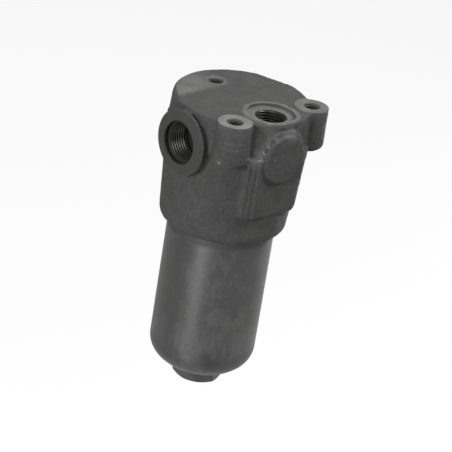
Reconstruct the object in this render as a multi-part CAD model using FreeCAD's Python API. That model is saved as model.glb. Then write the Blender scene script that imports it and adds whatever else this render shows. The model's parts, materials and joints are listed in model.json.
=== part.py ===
import FreeCAD, Part
import math
import os

V = FreeCAD.Vector

# High-pressure in-line oil filter: a cast head that bolts up under a plane, and a steel bowl screwed
# into it from below with the filter element inside. Millimetres. The origin is where the bowl's axis
# meets the mounting plane; +Z is up, the side port points to -X and the flat pad to -Y.
# Threads are plain cylinders at their pitch radius.

# Bowl, which the head is sized round
BOWL_R = 34.0
BOWL_WALL = 7.0
BOWL_BELOW = 84.7         # straight wall seen below the head
BOWL_CORNER = 15.2        # corner radius of the bottom
BOWL_DOME_ANGLE = 47.9    # degrees, where the corner runs out into the shallow dome
BOWL_FLOOR_T = 8.0
HEX_AF = 27.0
HEX_BELOW = 4.1           # below the dome
HEX_TURN = 55.0           # degrees, one flat nearly faces the corner between side port and pad
HEX_CHAMFER = 30.0        # degrees
HEX_CHAMFER_R = 11.2      # flat left inside the chamfer
HEX_EDGE = 0.8
THREAD_PITCH = 2.0        # bowl thread, M68 x 2
THREAD_L = 18.0
THREAD_GAP = 0.1          # each side, radially
MOUTH_GAP = 1.1           # clearance round the bowl at the head's lower rim
MOUTH_L = 6.2
SEAL_LAND_L = 13.5        # smooth bore above the thread
SEAL_STEP = 1.75          # smooth bore inside the thread's pitch radius
SEAL_GAP = 0.1            # neck to smooth bore, radially
STOP_GAP = 0.3            # neck's end to the step in the head
NECK_CHAMFER = 1.0

# Bowl seals
GROOVE_DEPTH = 2.5
GROOVE_DROP = 3.4         # from the neck's end
O_RING_W = 3.3            # pressed width of a 3 mm ring
BACKUP_W = 1.4
SEAL_PLAY = 0.05          # seals to the walls round them

# Casting of the head
HEAD_OVER = 9.5           # body radius at the parting plane, over the bowl's
PARTING_Z = -24.3         # parting plane, in which the side port and the round blank lie
BODY_DRAFT = 3.3          # degrees, both ways from the parting plane
TOP_DROP = 1.4            # cast top below the mounting plane
TOP_EDGE = 2.6            # edge radius round the cast top
RIM_EDGE = 6.0            # edge radius round the lower rim
REAR_PAD_REACH = 10.7     # machined rear pad, from its hole to its front edge
REAR_PAD_EDGE = 4.0
REAR_PAD_RUN = 1.6        # slope at its front edge

# Three tapped mounting holes, M10, two of them in lugs
BOLT_PCD = 73.0
BOLT_COUNT = 3
BOLT_CENTRE_Y = -11.8
BOLT_R = 4.51
BOLT_DEPTH = 14.0
BOLT_CHAMFER = 0.6
LUG_R = 10.6
LUG_H = 27.0
LUG_DRAFT = 1.3           # degrees
LUG_BOTTOM_EDGE = 4.0

# Side port, G3/4
SIDE_STAND = 2.0          # face beyond the body
SIDE_RING_R = 21.4
SIDE_RING_T = 4.0
SIDE_RING_EDGE = 0.8
SIDE_THREAD_R = 12.64
SIDE_THREAD_L = 18.0
SIDE_CHAMFER = 0.6
SIDE_NECK_STEP = 0.8      # round cast neck inside the ring's edge
SIDE_BASE_OVER = 0.8      # angular cast base wider than the ring, each side
SIDE_BASE_SHOULDER = 14.0
SIDE_BASE_TOP = 19.5
SIDE_BASE_TOP_W = 12.0
SIDE_BASE_BACK = 1.2      # base stands back from the ring
SIDE_BASE_EDGE = 2.0

# Top port, G1/2, in a raised ring between the lugs
TOP_PORT_BACK = 2.3       # axis behind the lugs' line
TOP_THREAD_R = 9.9
TOP_THREAD_L = 15.0
TOP_CHAMFER = 0.6
SPOT_FACE_R = 15.0
SPOT_FACE_DEPTH = 2.3     # below the mounting plane
TOP_RING_WALL = 2.3
TOP_RING_SIDES = 8
TOP_RING_TURN = 8.0       # degrees
TOP_RING_CORNER = 6.0
TOP_RING_DROP = 0.4       # rim below the mounting plane
TOP_RING_EDGE = 0.8
TOP_RING_LIP = 2.6        # ring carried down over the body's front
TOP_RING_OVER = 0.4       # and beyond it

# Flat pad with stepped edges, and the round blank for a clogging indicator
PAD_STAND = 1.0           # face beyond the body, at the parting plane
PAD_W = 37.5
PAD_H = 40.5
PAD_STEPS = 3
PAD_STEP_W = 2.7          # each step is wider by this on both sides
PAD_STEP_BACK = 1.8       # and stands back by this
PAD_RISE = 1.6            # above the parting plane
PAD_DRAFT = 2.5           # degrees
PAD_EDGE = 0.9
DRUM_R = 18.2
DRUM_BACK = 1.1           # behind the pad's face
DRUM_EDGE = 1.2
BLANK_R = 14.2
BLANK_STAND = 1.6         # before the pad's face
BLANK_FLARE = 0.8
BLANK_EDGE = 0.9

# Passages in the head
ROOF_WALL = 5.06          # side port thread to the chamber's roof
CHAMBER_H = 5.5           # roof to the neck's stop
CHAMBER_GAP = 1.0         # bypass valve to the chamber's wall, and the corner's radius
GALLERY_R = 7.0
GALLERY_FLOOR = 6.5       # roof to clean-oil gallery
GALLERY_PAST = 7.4        # gallery runs on past the bypass valve
INLET_R = 9.0             # passage behind the side port
INLET_TAPER = 2.0
INLET_DROP_R = 7.5        # passage down to the chamber
INLET_DROP_GAP = 0.5      # from the chamber's wall

# Spigot that carries the element
SPIGOT_R = 10.0
SPIGOT_BORE_R = 6.0
SPIGOT_PAST = 5.0         # beyond the element's top cap
SPIGOT_SHOULDER = 1.2
SPIGOT_LEAD = 1.2
SPIGOT_GROOVE_W = 2.6
SPIGOT_GROOVE_DEPTH = 1.3
SPIGOT_RISE = 1.0         # above the gallery's floor
FIT = 0.05                # screwed and pressed seats, radially

# Filter element
CAP_SHEET = 0.8
CAP_LIP = 5.0
CAP_EDGE = 0.7
HUB_L = 4.5
HUB_WALL = 2.4            # outside the seal
HUB_GAP = 1.1             # below the bypass valve
HUB_GROOVE_W = 2.8
HUB_GROOVE_DEPTH = 2.0
CORE_GAP = 1.2            # spigot to core tube
CORE_SHEET = 0.8
CORE_ROWS = 9
CORE_HOLES = 8
CORE_HOLE_R = 2.0
GUARD_R = 21.4
GUARD_SHEET = 0.5
GUARD_ROWS = 10
GUARD_HOLES = 12
GUARD_HOLE_R = 2.6
PLEATS = 36
PLEAT_PLAY = 0.3          # pleats to the tubes on both sides
PLEAT_SKIN = 3.0          # radial thickness of the folded wall

# Spring under the element
SPRING_H = 13.4           # fitted height
SPRING_WIRE_R = 0.9
SPRING_MEAN_R = 10.5
SPRING_TURNS = 4.0
SPRING_PLAY = 0.1
SPRING_SEAT = 1.0         # flat floor beyond the spring
PILOT_GAP = 1.0           # spring to the boss on the bottom cap
PILOT_L = 3.0

# Bypass valve between chamber and gallery
BYPASS_R = 7.0
BYPASS_BORE_R = 5.2
BYPASS_SEAT_R = 3.2
BYPASS_SEAT_T = 2.0       # bottom wall, with the seat in it
BYPASS_HEX_AF = 14.4
BYPASS_HEX_H = 2.6
BYPASS_GAP = 1.3          # hexagon to spigot
BYPASS_RISE = 11.0        # body above the roof
WASHER_T = 0.8
WASHER_PLAY = 0.15
POPPET_OVER = 1.0         # disc beyond the seat
POPPET_T = 1.6
POPPET_STEM_R = 1.2
POPPET_NOSE = 0.8
POPPET_NOSE_PLAY = 0.2
STEM_PAST = 1.2           # beyond the spring plate
PLATE_T = 0.8
PLATE_HOLES = 6
PLATE_HOLE_R = 0.6
PLATE_HOLES_R = 4.0
STEM_PLAY = 0.1
CLIP_T = 0.8
CLIP_W = 1.3
CLIP_DEPTH = 0.5          # into the body
CLIP_GAP = 50.0           # degrees
CLIP_DROP = 1.0           # below the body's end
BYPASS_WIRE_R = 0.35
BYPASS_SPRING_R = 2.6
BYPASS_TURNS = 5.0

# Radii that several pieces share
HEAD_R = BOWL_R + HEAD_OVER
THREAD_R = BOWL_R - 0.3248 * THREAD_PITCH
MOUTH_R = BOWL_R + MOUTH_GAP
BOWL_BORE_R = BOWL_R - BOWL_WALL
SEAL_BORE_R = THREAD_R - SEAL_STEP
LAND_R = SEAL_BORE_R - SEAL_GAP
GROOVE_R = SEAL_BORE_R - GROOVE_DEPTH
SHANK_R = SPIGOT_R - SPIGOT_SHOULDER
CORE_R = SPIGOT_R + CORE_GAP + CORE_SHEET
CAP_R = GUARD_R + FIT + CAP_SHEET
CAP_BORE_R = SPIGOT_R + SEAL_GAP
BYPASS_HEX_R = BYPASS_HEX_AF / math.sqrt(3)
CHAMBER_R = SPIGOT_R + BYPASS_GAP + 2 * BYPASS_HEX_R + CHAMBER_GAP
POPPET_R = BYPASS_SEAT_R + POPPET_OVER

# Heights, from the mounting plane down
ROOF_Z = PARTING_Z - SIDE_THREAD_R - ROOF_WALL
STEP_Z = ROOF_Z - CHAMBER_H
THREAD_TOP_Z = STEP_Z - SEAL_LAND_L
THREAD_BASE_Z = THREAD_TOP_Z - THREAD_L
RIM_Z = THREAD_BASE_Z - MOUTH_L
GALLERY_Z = ROOF_Z + GALLERY_FLOOR + GALLERY_R
NECK_Z = STEP_Z - STOP_GAP
GROOVE_Z = NECK_Z - GROOVE_DROP
GROOVE_W = O_RING_W + BACKUP_W + 3 * SEAL_PLAY
WALL_END_Z = RIM_Z - BOWL_BELOW
DOME_ANGLE = math.radians(BOWL_DOME_ANGLE)
DOME_START_R = BOWL_R - BOWL_CORNER * (1 - math.cos(DOME_ANGLE))
DOME_START_Z = WALL_END_Z - BOWL_CORNER * math.sin(DOME_ANGLE)
DOME_R = DOME_START_R / math.cos(DOME_ANGLE)
DOME_CENTRE_Z = DOME_START_Z + DOME_R * math.sin(DOME_ANGLE)
POLE_Z = DOME_CENTRE_Z - DOME_R
FLOOR_Z = POLE_Z + BOWL_FLOOR_T
HEX_Z = POLE_Z - HEX_BELOW
BYPASS_TOP_Z = ROOF_Z + BYPASS_RISE
BYPASS_BASE_Z = ROOF_Z - WASHER_T - BYPASS_HEX_H
SEAT_Z = BYPASS_BASE_Z + BYPASS_SEAT_T
CLIP_Z = BYPASS_TOP_Z - CLIP_DROP - CLIP_T
PLATE_Z = CLIP_Z - PLATE_T
HUB_Z = BYPASS_BASE_Z - HUB_GAP
CAP_Z = HUB_Z - HUB_L
CAP_UNDER_Z = CAP_Z - CAP_SHEET
HUB_GROOVE_R = CAP_BORE_R + HUB_GROOVE_DEPTH
HUB_GROOVE_Z = CAP_Z + (HUB_L - HUB_GROOVE_W) / 2
FOOT_Z = FLOOR_Z + SPRING_H
FOOT_INSIDE_Z = FOOT_Z + CAP_SHEET

# Places in plan
SIDE_FACE_X = HEAD_R + SIDE_STAND
PAD_FACE_Y = HEAD_R + PAD_STAND
REAR_HOLE_Y = BOLT_CENTRE_Y + BOLT_PCD / 2
REAR_PAD_Y = REAR_HOLE_Y - REAR_PAD_REACH
LUG_Y = BOLT_CENTRE_Y - BOLT_PCD / 4
TOP_PORT_Y = LUG_Y + TOP_PORT_BACK
BYPASS_Y = SPIGOT_R + BYPASS_GAP + BYPASS_HEX_R
INLET_DROP_X = CHAMBER_R - INLET_DROP_R - INLET_DROP_GAP

BIG = 300.0               # larger than the whole filter


def rise(angle, length):
    return length * math.tan(math.radians(angle))


def rounded(corners, place):
    # closed wire through corners (u, v) or (u, v, radius), with a tangent arc at each radius
    points = [V(c[0], c[1], 0) for c in corners]
    radii = [c[2] if len(c) > 2 else 0.0 for c in corners]
    ends = []
    for i, here in enumerate(points):
        to_last = points[i - 1] - here
        to_next = points[(i + 1) % len(points)] - here
        half = to_last.getAngle(to_next) / 2
        room = 0.48 * min(to_last.Length, to_next.Length)
        run = min(radii[i] / math.tan(half), room) if radii[i] else 0.0
        to_last.normalize()
        to_next.normalize()
        middle = here
        if run:
            inward = to_last + to_next
            inward.normalize()
            radius = run * math.tan(half)
            middle = here + inward * (radius / math.sin(half) - radius)
        ends.append((here + to_last * run, middle, here + to_next * run))
    edges = []
    for i, (start, middle, end) in enumerate(ends):
        if (end - start).Length > 1e-6:
            edges.append(Part.Arc(place(start), place(middle), place(end)).toShape())
        following = ends[(i + 1) % len(ends)][0]
        if (following - end).Length > 1e-6:
            edges.append(Part.makeLine(place(end), place(following)))
    return Part.Wire(edges)


def level(p):
    return V(p.x, p.y, 0)


def upright(p):
    return V(p.x, 0, p.y)


def sideways(p):
    return V(0, p.x, p.y)


def turned(corners, y=0.0, x=0.0):
    # solid turned about a vertical axis, from (radius, height) corners
    solid = Part.Face(rounded(corners, upright)).revolve(V(0, 0, 0), V(0, 0, 1), 360)
    solid.translate(V(x, y, 0))
    return solid


def turned_left(corners):
    # the same about the side port's axis, heights counted towards -X
    solid = turned(corners)
    solid.rotate(V(0, 0, 0), V(0, 1, 0), -90)
    solid.translate(V(0, 0, PARTING_Z))
    return solid


def turned_front(corners):
    # the same about the round blank's axis, heights counted towards -Y
    solid = turned(corners)
    solid.rotate(V(0, 0, 0), V(1, 0, 0), 90)
    solid.translate(V(0, 0, PARTING_Z))
    return solid


def prism(corners, z_low, z_high):
    face = Part.Face(rounded(corners, level))
    face.translate(V(0, 0, z_low))
    return face.extrude(V(0, 0, z_high - z_low))


def polygon(across_flats, sides, turn, edge):
    out = across_flats / 2 / math.cos(math.pi / sides)
    angles = [math.radians(turn) + 2 * math.pi * (i + 0.5) / sides for i in range(sides)]
    return [(out * math.cos(a), out * math.sin(a), edge) for a in angles]


def cylinder(radius, z_low, z_high, y=0.0, x=0.0):
    return Part.makeCylinder(radius, z_high - z_low, V(x, y, z_low))


def tube(outer, inner, z_low, z_high, y=0.0):
    return cylinder(outer, z_low, z_high, y).cut(cylinder(inner, z_low, z_high, y))


def pressed_ring(inner, outer, z_low, z_high):
    # a seal pressed flat on two sides, its corners still round
    edge = min(outer - inner, z_high - z_low) * 0.45
    return turned([(inner, z_low, edge), (outer, z_low, edge), (outer, z_high, edge), (inner, z_high, edge)])


def coil(radius, wire, z_low, z_high, turns):
    # swept half a turn at a time, so that no face is long
    rise_of_half = (z_high - z_low - 2 * wire) / turns / 2
    halves = []
    for i in range(round(2 * turns)):
        half = Part.makeHelix(2 * rise_of_half, rise_of_half, radius)
        half.rotate(V(0, 0, 0), V(0, 0, 1), 180 * i)
        half.translate(V(0, 0, z_low + wire + rise_of_half * i))
        halves += half.Edges
    section = Part.Wire(Part.makeCircle(wire, V(radius, 0, z_low + wire), V(0, 1, 0)))
    return Part.Wire(halves).makePipeShell([section], True, True)


def sheet_tube(outer, sheet, z_low, z_high, rows, holes, hole_r):
    # perforated tube, its holes in staggered rows
    solid = tube(outer, outer - sheet, z_low, z_high)
    pitch = (z_high - z_low) / rows
    tools = []
    for row in range(rows):
        for i in range(holes):
            angle = 2 * math.pi * (i + 0.5 * (row % 2)) / holes
            out = V(math.cos(angle), math.sin(angle), 0)
            start = out * (outer - sheet * 2) + V(0, 0, z_low + pitch * (row + 0.5))
            tools.append(Part.makeCylinder(hole_r, sheet * 3, start, out))
    return solid.cut(Part.makeCompound(tools))


def bolt_places():
    places = []
    for i in range(BOLT_COUNT):
        angle = math.radians(90 + 360 * i / BOLT_COUNT)
        places.append((BOLT_PCD / 2 * math.cos(angle), BOLT_CENTRE_Y + BOLT_PCD / 2 * math.sin(angle)))
    return places


def body_radius(z):
    return HEAD_R - rise(BODY_DRAFT, abs(z - PARTING_Z))


def drafted_body(top, edge):
    return turned([(0, top), (body_radius(top), top, edge), (HEAD_R, PARTING_Z),
                   (body_radius(RIM_Z), RIM_Z, RIM_EDGE), (0, RIM_Z)])


def cast_body():
    # the machined rear pad stands above the cast top, behind a short slope
    front = Part.makeBox(BIG, BIG, BIG, V(-BIG / 2, REAR_PAD_Y - BIG, -BIG / 2))
    region = [(REAR_PAD_Y, -BIG), (BIG, -BIG), (BIG, 1), (REAR_PAD_Y + REAR_PAD_RUN, 1),
              (REAR_PAD_Y + REAR_PAD_RUN, 0), (REAR_PAD_Y, -TOP_DROP)]
    rear = Part.Face(rounded(region, sideways)).extrude(V(BIG, 0, 0))
    rear.translate(V(-BIG / 2, 0, 0))
    low = drafted_body(-TOP_DROP, TOP_EDGE).common(front)
    return low.fuse(drafted_body(0.0, REAR_PAD_EDGE).common(rear))


def lugs():
    foot = LUG_R + rise(LUG_DRAFT, LUG_H)
    corners = [(0, 0), (LUG_R, 0, 0.4), (foot, -LUG_H, LUG_BOTTOM_EDGE), (0, -LUG_H)]
    return [turned(corners, y, x) for x, y in bolt_places() if y < REAR_PAD_Y]


def side_port_casting():
    back = SIDE_FACE_X - SIDE_RING_T
    neck_r = SIDE_RING_R - SIDE_NECK_STEP
    ring = turned_left([(0, back), (SIDE_RING_R, back, SIDE_RING_EDGE),
                        (SIDE_RING_R, SIDE_FACE_X, SIDE_RING_EDGE), (0, SIDE_FACE_X)])
    neck = turned_left([(0, 0), (neck_r, 0), (neck_r, back), (0, back)])
    half = SIDE_RING_R + SIDE_BASE_OVER
    shoulder = PARTING_Z + SIDE_BASE_SHOULDER
    top = PARTING_Z + SIDE_BASE_TOP
    base = [(-half, PARTING_Z), (half, PARTING_Z), (half, shoulder, SIDE_BASE_EDGE),
            (SIDE_BASE_TOP_W / 2, top, SIDE_BASE_EDGE), (-SIDE_BASE_TOP_W / 2, top, SIDE_BASE_EDGE),
            (-half, shoulder, SIDE_BASE_EDGE)]
    angular = Part.Face(rounded(base, sideways)).extrude(V(SIDE_BASE_BACK - back, 0, 0))
    return [ring, neck, angular]


def top_port_casting():
    outline = polygon(2 * (SPOT_FACE_R + TOP_RING_WALL), TOP_RING_SIDES, TOP_RING_TURN, TOP_RING_CORNER)
    ring = prism(outline, -TOP_DROP - TOP_RING_LIP, -TOP_RING_DROP)
    ring.translate(V(0, TOP_PORT_Y, 0))
    rim = [e for e in ring.Edges if e.BoundBox.ZMin > -TOP_RING_DROP - 1e-6]
    ring = ring.makeFillet(TOP_RING_EDGE, rim)
    return [ring.common(cylinder(HEAD_R + TOP_RING_OVER, -BIG, BIG))]


def flat_pad():
    top = PARTING_Z + PAD_RISE
    taper = rise(PAD_DRAFT, PAD_H)
    steps = []
    for i in range(PAD_STEPS):
        sections = []
        for z, inset in ((top - PAD_H, taper), (top, 0.0)):
            half = PAD_W / 2 + i * PAD_STEP_W - inset
            front = PAD_FACE_Y - i * PAD_STEP_BACK - inset
            corners = [(-half, 0), (half, 0), (half, -front, PAD_EDGE), (-half, -front, PAD_EDGE)]
            wire = rounded(corners, level)
            wire.translate(V(0, 0, z))
            sections.append(wire)
        steps.append(Part.makeLoft(sections, True, True))
    return steps


def round_blank():
    drum_face = PAD_FACE_Y - DRUM_BACK
    face = PAD_FACE_Y + BLANK_STAND
    root = BLANK_R + BLANK_FLARE
    drum = turned_front([(0, 0), (DRUM_R, 0), (DRUM_R, drum_face, DRUM_EDGE), (0, drum_face)])
    blank = turned_front([(0, 0), (root, 0), (root, drum_face), (BLANK_R, face, BLANK_EDGE), (0, face)])
    return [drum, blank]


def chamber():
    # mouth, thread, seal bore and dirty-oil chamber, one bore from below
    thread = THREAD_R + THREAD_GAP
    return turned([(0, RIM_Z - 1), (MOUTH_R + 1.5, RIM_Z - 1), (MOUTH_R, RIM_Z + 0.5),
                   (MOUTH_R, THREAD_BASE_Z + thread - MOUTH_R), (thread, THREAD_BASE_Z),
                   (thread, THREAD_TOP_Z), (SEAL_BORE_R, THREAD_TOP_Z + thread - SEAL_BORE_R),
                   (SEAL_BORE_R, STEP_Z), (CHAMBER_R, STEP_Z), (CHAMBER_R, ROOF_Z, CHAMBER_GAP),
                   (0, ROOF_Z)])


def inlet_passage():
    thread_end = SIDE_FACE_X - SIDE_THREAD_L
    end = INLET_DROP_X - INLET_DROP_R
    mouth = SIDE_THREAD_R + SIDE_CHAMFER
    port = turned_left([(0, SIDE_FACE_X + 1), (mouth + 1, SIDE_FACE_X + 1),
                        (SIDE_THREAD_R, SIDE_FACE_X - SIDE_CHAMFER), (SIDE_THREAD_R, thread_end),
                        (INLET_R, thread_end - INLET_TAPER), (INLET_R, end, 3), (0, end)])
    return [port, cylinder(INLET_DROP_R, ROOF_Z - 1, PARTING_Z, 0, -INLET_DROP_X)]


def outlet_passage():
    floor = -SPOT_FACE_DEPTH
    thread_end = floor - TOP_THREAD_L
    port = turned([(0, 1), (SPOT_FACE_R, 1), (SPOT_FACE_R, floor, 0.6), (TOP_THREAD_R + TOP_CHAMFER, floor),
                   (TOP_THREAD_R, floor - TOP_CHAMFER), (TOP_THREAD_R, thread_end),
                   (GALLERY_R, thread_end - INLET_TAPER), (GALLERY_R, GALLERY_Z), (0, GALLERY_Z)],
                  TOP_PORT_Y)
    start = V(0, TOP_PORT_Y, GALLERY_Z)
    length = BYPASS_Y + GALLERY_PAST - TOP_PORT_Y
    gallery = Part.makeCylinder(GALLERY_R, length, start, V(0, 1, 0))
    return [port, gallery, Part.makeSphere(GALLERY_R, start)]


def valve_seats():
    # holes between roof and gallery for the spigot and the bypass valve
    return [cylinder(SHANK_R + FIT, ROOF_Z - 1, GALLERY_Z),
            cylinder(BYPASS_R + FIT, ROOF_Z - 1, GALLERY_Z, BYPASS_Y)]


def mounting_holes():
    tip = rise(31, BOLT_R)
    corners = [(0, 1), (BOLT_R + BOLT_CHAMFER + 1, 1), (BOLT_R, -BOLT_CHAMFER), (BOLT_R, -BOLT_DEPTH),
               (0, -BOLT_DEPTH - tip)]
    return [turned(corners, y, x) for x, y in bolt_places()]


def filter_head():
    solid = cast_body()
    solid = solid.fuse(lugs() + side_port_casting() + top_port_casting() + flat_pad() + round_blank())
    solid = solid.cut([chamber()] + inlet_passage() + outlet_passage() + valve_seats() + mounting_holes())
    return solid.removeSplitter()


def bowl_outside():
    # neck, thread, straight wall, corner and shallow dome
    thread = THREAD_R - THREAD_GAP
    points = [(0, NECK_Z), (LAND_R - NECK_CHAMFER, NECK_Z), (LAND_R, NECK_Z - NECK_CHAMFER),
              (LAND_R, THREAD_TOP_Z), (thread, THREAD_TOP_Z - thread + LAND_R), (thread, THREAD_BASE_Z),
              (BOWL_R, THREAD_BASE_Z - BOWL_R + thread), (BOWL_R, WALL_END_Z)]
    edges = [Part.makeLine(V(a[0], 0, a[1]), V(b[0], 0, b[1])) for a, b in zip(points, points[1:])]

    def on_arc(centre_r, centre_z, radius, angle):
        return V(centre_r + radius * math.cos(angle), 0, centre_z - radius * math.sin(angle))
    corner = [on_arc(BOWL_R - BOWL_CORNER, WALL_END_Z, BOWL_CORNER, a) for a in (0, DOME_ANGLE / 2, DOME_ANGLE)]
    dome = [on_arc(0, DOME_CENTRE_Z, DOME_R, a) for a in (DOME_ANGLE, DOME_ANGLE / 2 + math.pi / 4, math.pi / 2)]
    edges += [Part.Arc(*corner).toShape(), Part.Arc(*dome).toShape()]
    edges.append(Part.makeLine(V(0, 0, POLE_Z), V(0, 0, NECK_Z)))
    return Part.Face(Part.Wire(edges)).revolve(V(0, 0, 0), V(0, 0, 1), 360)


def bowl_hex():
    hexagon = prism(polygon(HEX_AF, 6, HEX_TURN, HEX_EDGE), HEX_Z, FLOOR_Z)
    cone = turned([(0, HEX_Z), (HEX_CHAMFER_R, HEX_Z, HEX_EDGE),
                   (BOWL_R, HEX_Z + rise(HEX_CHAMFER, BOWL_R - HEX_CHAMFER_R)), (BOWL_R, 0), (0, 0)])
    return hexagon.common(cone)


def filter_bowl():
    seat = SPRING_MEAN_R + SPRING_WIRE_R + SPRING_SEAT
    hollow = turned([(0, NECK_Z + 1), (BOWL_BORE_R + 2, NECK_Z + 1), (BOWL_BORE_R, NECK_Z - 1),
                     (BOWL_BORE_R, FLOOR_Z, BOWL_BORE_R - seat), (0, FLOOR_Z)])
    groove = tube(BOWL_R, GROOVE_R, GROOVE_Z - GROOVE_W, GROOVE_Z)
    return bowl_outside().fuse(bowl_hex()).cut(hollow).cut(groove).removeSplitter()


def bowl_o_ring():
    top = GROOVE_Z - SEAL_PLAY
    return pressed_ring(GROOVE_R + SEAL_PLAY, SEAL_BORE_R - SEAL_PLAY, top - O_RING_W, top)


def bowl_backup_ring():
    low = GROOVE_Z - GROOVE_W + SEAL_PLAY
    return tube(SEAL_BORE_R - SEAL_PLAY, GROOVE_R + SEAL_PLAY, low, low + BACKUP_W)


def element_spigot():
    top = GALLERY_Z - GALLERY_R + SPIGOT_RISE
    low = CAP_UNDER_Z - SPIGOT_PAST
    solid = turned([(0, top), (SHANK_R, top, 0.5), (SHANK_R, ROOF_Z), (SPIGOT_R, ROOF_Z, 0.3),
                    (SPIGOT_R, low, SPIGOT_LEAD), (0, low)])
    groove = tube(SPIGOT_R, SHANK_R - SPIGOT_GROOVE_DEPTH, ROOF_Z, ROOF_Z + SPIGOT_GROOVE_W)
    return solid.cut(cylinder(SPIGOT_BORE_R, -BIG, BIG)).cut(groove)


def spigot_o_ring():
    inner = SHANK_R - SPIGOT_GROOVE_DEPTH + SEAL_PLAY
    return pressed_ring(inner, SHANK_R, ROOF_Z + SEAL_PLAY, ROOF_Z + SPIGOT_GROOVE_W - SEAL_PLAY)


def element_top_cap():
    hub = HUB_GROOVE_R + HUB_WALL
    inner = CAP_R - CAP_SHEET
    solid = turned([(CAP_BORE_R, HUB_Z, 0.4), (hub, HUB_Z, 0.5), (hub, CAP_Z), (CAP_R, CAP_Z, CAP_EDGE),
                    (CAP_R, CAP_Z - CAP_LIP), (inner, CAP_Z - CAP_LIP), (inner, CAP_UNDER_Z),
                    (CAP_BORE_R, CAP_UNDER_Z)])
    return solid.cut(tube(HUB_GROOVE_R, CAP_BORE_R - 1, HUB_GROOVE_Z, HUB_GROOVE_Z + HUB_GROOVE_W))


def element_o_ring():
    return pressed_ring(SPIGOT_R + SEAL_PLAY, HUB_GROOVE_R - SEAL_PLAY, HUB_GROOVE_Z + SEAL_PLAY,
                        HUB_GROOVE_Z + HUB_GROOVE_W - SEAL_PLAY)


def element_bottom_cap():
    pilot = SPRING_MEAN_R - SPRING_WIRE_R - PILOT_GAP
    inner = CAP_R - CAP_SHEET
    return turned([(0, FOOT_Z - PILOT_L), (pilot, FOOT_Z - PILOT_L, 0.5), (pilot, FOOT_Z),
                   (CAP_R, FOOT_Z, CAP_EDGE), (CAP_R, FOOT_Z + CAP_LIP), (inner, FOOT_Z + CAP_LIP),
                   (inner, FOOT_INSIDE_Z), (0, FOOT_INSIDE_Z)])


def element_core_tube():
    return sheet_tube(CORE_R, CORE_SHEET, FOOT_INSIDE_Z, CAP_UNDER_Z, CORE_ROWS, CORE_HOLES, CORE_HOLE_R)


def element_outer_guard():
    return sheet_tube(GUARD_R, GUARD_SHEET, FOOT_INSIDE_Z, CAP_UNDER_Z, GUARD_ROWS, GUARD_HOLES, GUARD_HOLE_R)


def element_pleat_pack():
    # one folded wall, closed on itself
    tip = GUARD_R - GUARD_SHEET - PLEAT_PLAY
    valley = CORE_R + PLEAT_PLAY

    def star(far, near):
        corners = []
        for i in range(PLEATS):
            for radius, turn in ((far, 0.0), (near, 0.5)):
                angle = 2 * math.pi * (i + turn) / PLEATS
                corners.append((radius * math.cos(angle), radius * math.sin(angle)))
        return prism(corners, FOOT_INSIDE_Z, CAP_UNDER_Z)
    return star(tip, valley + PLEAT_SKIN).cut(star(tip - PLEAT_SKIN, valley))


def element_spring():
    return coil(SPRING_MEAN_R, SPRING_WIRE_R, FLOOR_Z + SPRING_PLAY, FOOT_Z - SPRING_PLAY, SPRING_TURNS)


def bypass_valve_body():
    shank = cylinder(BYPASS_R, BYPASS_BASE_Z, BYPASS_TOP_Z)
    flange = prism(polygon(BYPASS_HEX_AF, 6, 0, 0.3), BYPASS_BASE_Z, BYPASS_BASE_Z + BYPASS_HEX_H)
    groove_r = BYPASS_BORE_R + CLIP_DEPTH + FIT
    bore = turned([(0, BYPASS_BASE_Z - 1), (BYPASS_SEAT_R, BYPASS_BASE_Z - 1), (BYPASS_SEAT_R, SEAT_Z),
                   (BYPASS_BORE_R, SEAT_Z), (BYPASS_BORE_R, CLIP_Z), (groove_r, CLIP_Z),
                   (groove_r, CLIP_Z + CLIP_T + FIT), (BYPASS_BORE_R, CLIP_Z + CLIP_T + FIT),
                   (BYPASS_BORE_R, BYPASS_TOP_Z + 1), (0, BYPASS_TOP_Z + 1)])
    solid = shank.fuse(flange).cut(bore)
    solid.translate(V(0, BYPASS_Y, 0))
    return solid.removeSplitter()


def bypass_washer():
    inner = BYPASS_R + WASHER_PLAY
    return tube(BYPASS_HEX_AF / 2 + 0.6, inner, ROOF_Z - WASHER_T, ROOF_Z, BYPASS_Y)


def bypass_poppet():
    nose = BYPASS_SEAT_R - POPPET_NOSE_PLAY
    disc_top = SEAT_Z + POPPET_T
    stem_top = PLATE_Z + PLATE_T + STEM_PAST
    return turned([(0, SEAT_Z - POPPET_NOSE), (nose - POPPET_NOSE, SEAT_Z - POPPET_NOSE), (nose, SEAT_Z),
                   (POPPET_R, SEAT_Z), (POPPET_R, disc_top, 0.3), (POPPET_STEM_R, disc_top),
                   (POPPET_STEM_R, stem_top, 0.3), (0, stem_top)], BYPASS_Y)


def bypass_spring():
    solid = coil(BYPASS_SPRING_R, BYPASS_WIRE_R, SEAT_Z + POPPET_T + FIT, PLATE_Z - FIT, BYPASS_TURNS)
    solid.translate(V(0, BYPASS_Y, 0))
    return solid


def bypass_spring_plate():
    solid = tube(BYPASS_BORE_R - FIT, POPPET_STEM_R + STEM_PLAY, PLATE_Z, PLATE_Z + PLATE_T)
    for i in range(PLATE_HOLES):
        angle = 2 * math.pi * i / PLATE_HOLES
        x = PLATE_HOLES_R * math.cos(angle)
        solid = solid.cut(cylinder(PLATE_HOLE_R, PLATE_Z - 1, PLATE_Z + 2, PLATE_HOLES_R * math.sin(angle), x))
    solid.translate(V(0, BYPASS_Y, 0))
    return solid


def bypass_retaining_ring():
    outer = BYPASS_BORE_R + CLIP_DEPTH
    face = Part.Face(rounded([(outer - CLIP_W, CLIP_Z), (outer, CLIP_Z), (outer, CLIP_Z + CLIP_T),
                              (outer - CLIP_W, CLIP_Z + CLIP_T)], upright))
    solid = face.revolve(V(0, 0, 0), V(0, 0, 1), 360 - CLIP_GAP)
    solid.translate(V(0, BYPASS_Y, 0))
    return solid


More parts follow.
